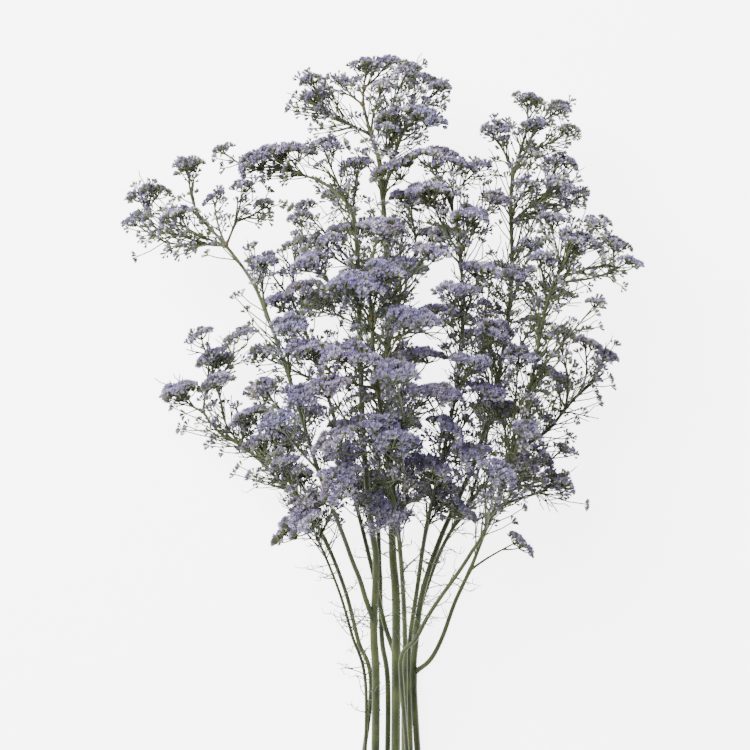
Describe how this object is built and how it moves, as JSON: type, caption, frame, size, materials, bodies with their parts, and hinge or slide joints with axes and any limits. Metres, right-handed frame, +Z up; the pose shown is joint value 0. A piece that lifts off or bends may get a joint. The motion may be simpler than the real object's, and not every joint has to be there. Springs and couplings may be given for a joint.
{
  "type": "dried statice",
  "caption": "Bunch of dried statice lying down: branching stalks that fan out into airy, flat-topped sprays of small upturned floret tufts",
  "frame": {"origin": "on the table under the middle of the bunch's bounding box", "axes": "+Y from the cut ends to the flowers, +Z up from the table the bunch lies on, +X to the right as seen from above with the flowers away"},
  "size_m": [0.4084, 0.6412, 0.2683],
  "materials": {
    "flowering_stem": "dry and papery, lavender florets on olive stalks"
  },
  "bodies": {
    "root": {"left_arching_stem": "flowering_stem", "left_low_stem": "flowering_stem", "left_forked_stem": "flowering_stem", "back_stem": "flowering_stem", "middle_stem": "flowering_stem", "front_stem": "flowering_stem", "right_front_stem": "flowering_stem", "right_spike_stem": "flowering_stem", "right_arm_stem": "flowering_stem", "right_low_stem": "flowering_stem"}
  },
  "joints": []
}
